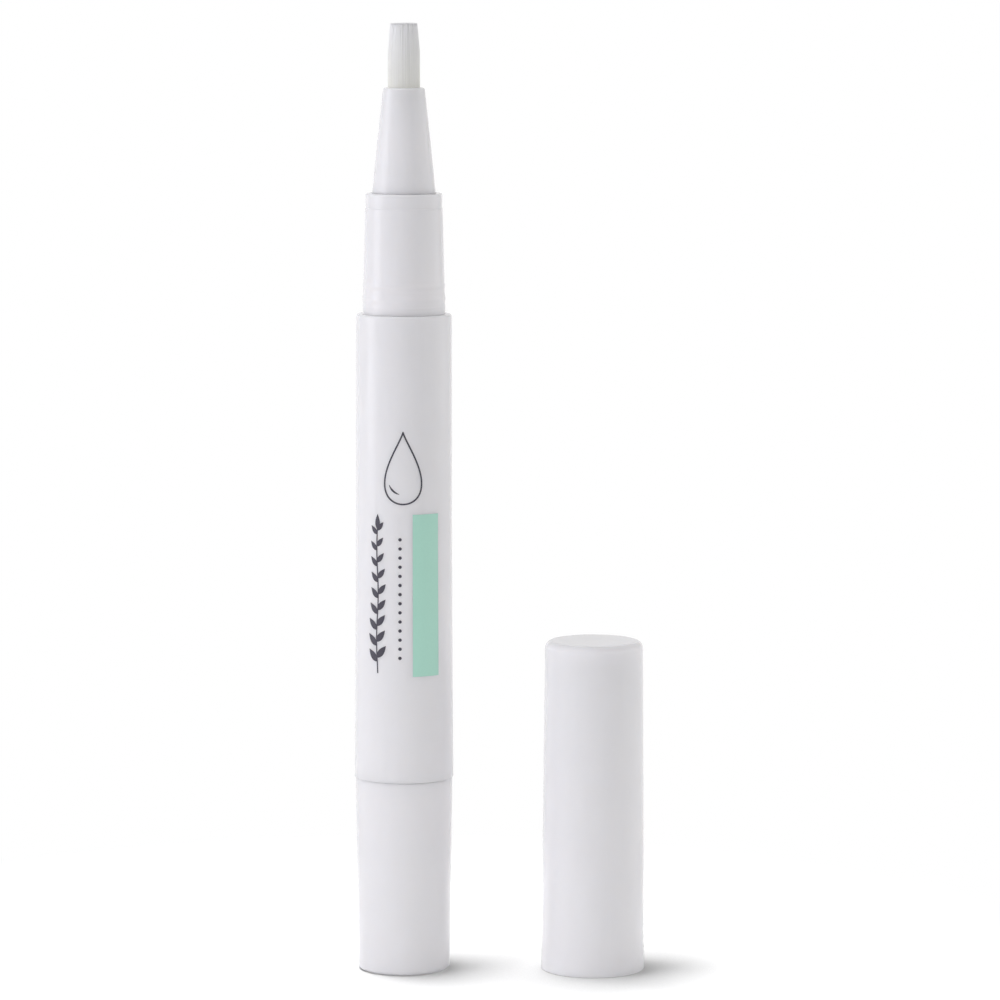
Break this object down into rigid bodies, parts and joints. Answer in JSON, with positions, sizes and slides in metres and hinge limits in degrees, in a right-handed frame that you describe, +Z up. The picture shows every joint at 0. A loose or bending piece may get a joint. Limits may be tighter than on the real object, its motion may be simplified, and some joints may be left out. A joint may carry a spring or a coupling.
{
  "type": "twist-up cuticle oil brush pen",
  "caption": "Slim white twist-up pen for cuticle oil: knob, barrel, collar, tapered nozzle and round brush, with its tall cap standing beside it.",
  "frame": {"origin": "on the pen's axis at the flat underside of the turning knob, on the surface that pen and cap stand on", "axes": "+Z up along the pen, +X towards the cap that stands beside it, +Y away from the side that the picture shows"},
  "size_m": [0.0405, 0.0144, 0.1314],
  "materials": {
    "shell_plastic": "satin white moulded polypropylene",
    "liner_plastic": "milky natural polyethylene",
    "drive_plastic": "natural acetal, satin",
    "bristle_nylon": "fine pale nylon bristles",
    "feed_plastic": "thin translucent tube"
  },
  "bodies": {
    "pen_body": {"barrel": "shell_plastic", "tail_housing": "drive_plastic", "drive_nut": "drive_plastic", "click_ring": "drive_plastic", "neck_collar": "shell_plastic", "nozzle_cone": "shell_plastic", "brush_retainer": "liner_plastic", "brush_tuft": "bristle_nylon", "feed_tube": "feed_plastic"},
    "knob": {"knob_shell": "shell_plastic", "drive_sleeve": "drive_plastic"},
    "rod": {"screw_rod": "drive_plastic"},
    "plunger": {"piston": "liner_plastic"},
    "cap": {"cap_shell": "shell_plastic", "cap_liner": "liner_plastic"}
  },
  "joints": [
    {"name": "knob_turn", "type": "hinge", "parent": "pen_body", "child": "knob", "pos_m": [0, 0, 0.01], "axis": [0, 0, 1], "range_deg": [0, 3960], "deforming": ["click_ring"]},
    {"name": "rod_feed", "type": "slide", "parent": "knob", "child": "rod", "axis": [0, 0, 1], "range_m": [0, 0.0331]},
    {"name": "piston_feed", "type": "slide", "parent": "pen_body", "child": "plunger", "axis": [0, 0, 1], "range_m": [0, 0.0331]},
    {"name": "cap_lift", "type": "slide", "parent": "pen_body", "child": "cap", "axis": [0, 0, 1], "range_m": [0, 0.135]}
  ],
  "couplings": [
    {"joint": "rod_feed", "follows": "knob_turn", "m_per_rad": 0.00047746},
    {"joint": "piston_feed", "follows": "knob_turn", "m_per_rad": 0.00047746}
  ]
}
